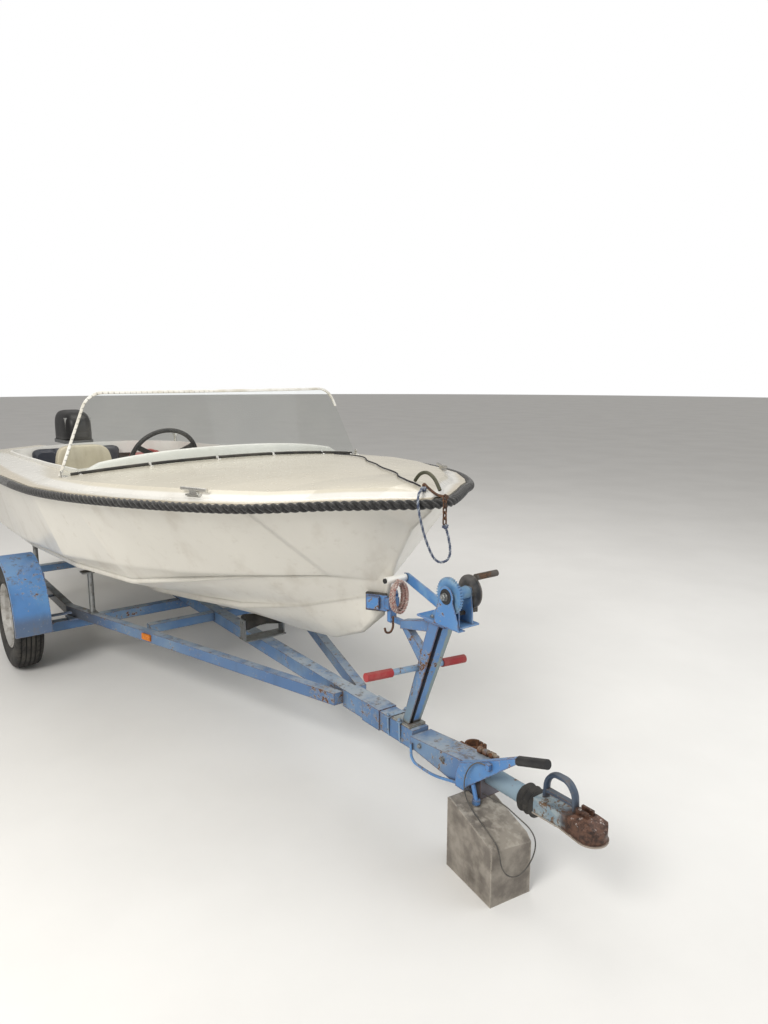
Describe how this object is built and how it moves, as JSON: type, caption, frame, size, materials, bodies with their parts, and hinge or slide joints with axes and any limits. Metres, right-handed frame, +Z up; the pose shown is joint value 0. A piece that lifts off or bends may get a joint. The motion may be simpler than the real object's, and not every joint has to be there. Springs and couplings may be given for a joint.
{
  "type": "speedboat on road trailer",
  "caption": "Small open outboard speedboat with wraparound windscreen and a rope fender round its gunwale, resting on its single-axle road trailer with winch and overrun coupling.",
  "frame": {"origin": "on the ground below the middle of the overall length, on the centreline", "axes": "+X to the bow and the tow coupling, +Y to port, +Z up"},
  "size_m": [5.37, 1.8856, 1.464],
  "materials": {
    "alloy": "cast",
    "amber": "translucent",
    "black_rubber": "matt",
    "cable_grey": "plastic-coated cable",
    "cord_black": "thin braided cord",
    "coupling_paint": "pale blue paint over rust",
    "crank_rust": "cream paint gone to rust",
    "dash_black": "matt vinyl",
    "deck_cream": "glossy gelcoat, weathered",
    "frame_blue": "faded blue enamel, chipped and rusty",
    "gear_blue": "blue paint, worn",
    "grip_black": "ribbed plastic",
    "grip_red": "matt",
    "guard_blue": "bright blue enamel, chipped at the edges",
    "hose_olive": "dull hose",
    "hull_white": "glossy gelcoat, a little chalky",
    "inner_grey": "matt resin paint",
    "motor_black": "satin enamel",
    "motor_grey": "rough cast",
    "rim_silver": "silver paint, dull",
    "roller_white": "matt nylon",
    "rope_black": "laid rope, matt",
    "rope_blue": "faded blue and white rope",
    "rope_pink": "faded laid rope, dirty",
    "rust": "rusted",
    "screen": "clear",
    "seat_cream": "moulded, satin",
    "stainless": "polished",
    "stone": "rough grey masonry",
    "tank_red": "worn gloss",
    "timber": "weathered",
    "tyre": "worn rubber",
    "vinyl_blue": "matt vinyl",
    "white_trim": "satin",
    "zinc": "galvanised, dull"
  },
  "bodies": {
    "boat_and_trailer": {"hull": "hull_white", "deck": "deck_cream", "motor_well": "hull_white", "cockpit_coaming": "hull_white", "cockpit_floor": "inner_grey", "dashboard": "dash_black", "windscreen": "screen", "windscreen_trim": "white_trim", "windscreen_seal": "black_rubber", "gunwale_rope": "rope_black", "lashing_cord": "cord_black", "bow_hose": "hose_olive", "bow_rope": "rope_blue", "chain_and_hook": "rust", "deck_fittings": "stainless", "helm_seat": "seat_cream", "aft_bench": "inner_grey", "bench_cushions": "vinyl_blue", "fuel_tank": "tank_red", "outboard_clamp": "alloy", "axle_beam": "frame_blue", "mudguards": "guard_blue", "drawbar": "frame_blue", "side_member_starboard": "frame_blue", "side_member_port": "frame_blue", "cross_members": "frame_blue", "bunk_boards": "timber", "hull_supports": "zinc", "keel_rollers": "black_rubber", "winch_post": "frame_blue", "handle_bar": "frame_blue", "handle_grips": "grip_red", "winch_frame": "gear_blue", "stem_roller": "roller_white", "bow_stop": "gear_blue", "bow_stop_pads": "black_rubber", "winch_rope_hank": "rope_pink", "overrun_housing": "frame_blue", "overrun_tube": "rust", "overrun_bellows": "black_rubber", "coupling_head": "coupling_paint", "coupling_handle": "frame_blue", "jockey_clamp": "rust", "handbrake_lever": "frame_blue", "handbrake_grip": "grip_black", "breakaway_cable": "cable_grey", "support_block": "stone", "side_reflectors": "amber"},
    "wheel_starboard": {"tyre_starboard": "tyre", "rim_starboard": "rim_silver"},
    "wheel_port": {"tyre_port": "tyre", "rim_port": "rim_silver"},
    "motor_tilt": {"outboard_swivel": "motor_grey"},
    "motor_steer": {"outboard_cowl": "motor_black", "engine_block": "alloy", "outboard_leg": "motor_grey"},
    "propeller": {"propeller": "alloy"},
    "steering_wheel": {"steering_wheel": "dash_black"},
    "winch_drum": {"winch_drum": "gear_blue"},
    "winch_crank": {"winch_crank": "crank_rust"}
  },
  "joints": [
    {"name": "wheel_starboard_spin", "type": "hinge", "parent": "boat_and_trailer", "child": "wheel_starboard", "pos_m": [-0.455, -0.85, 0.281], "axis": [0, 1, 0], "continuous": true},
    {"name": "wheel_port_spin", "type": "hinge", "parent": "boat_and_trailer", "child": "wheel_port", "pos_m": [-0.455, 0.85, 0.281], "axis": [0, 1, 0], "continuous": true},
    {"name": "outboard_tilt", "type": "hinge", "parent": "boat_and_trailer", "child": "motor_tilt", "pos_m": [-2.245, 0, 0.968], "axis": [0, 1, 0], "range_deg": [0, 70]},
    {"name": "outboard_steer", "type": "hinge", "parent": "motor_tilt", "child": "motor_steer", "pos_m": [-2.335, 0, 0.85], "axis": [0, 0, 1], "range_deg": [-35, 35]},
    {"name": "propeller_spin", "type": "hinge", "parent": "motor_steer", "child": "propeller", "pos_m": [-2.545, 0, 0.278], "axis": [1, 0, 0], "continuous": true},
    {"name": "steering_wheel_turn", "type": "hinge", "parent": "boat_and_trailer", "child": "steering_wheel", "pos_m": [0.145, -0.235, 1.118], "axis": [0.9063, 0, -0.4226], "range_deg": [-540, 540]},
    {"name": "winch_drum_spin", "type": "hinge", "parent": "boat_and_trailer", "child": "winch_drum", "pos_m": [2.088, 0, 0.857], "axis": [0, 1, 0], "continuous": true},
    {"name": "winch_crank_spin", "type": "hinge", "parent": "boat_and_trailer", "child": "winch_crank", "pos_m": [2.07531, 0, 0.78501], "axis": [0, 1, 0], "continuous": true}
  ],
  "couplings": [
    {"joint": "steering_wheel_turn", "follows": "outboard_steer", "ratio": 15.429},
    {"joint": "winch_crank_spin", "follows": "winch_drum_spin", "ratio": -4}
  ]
}
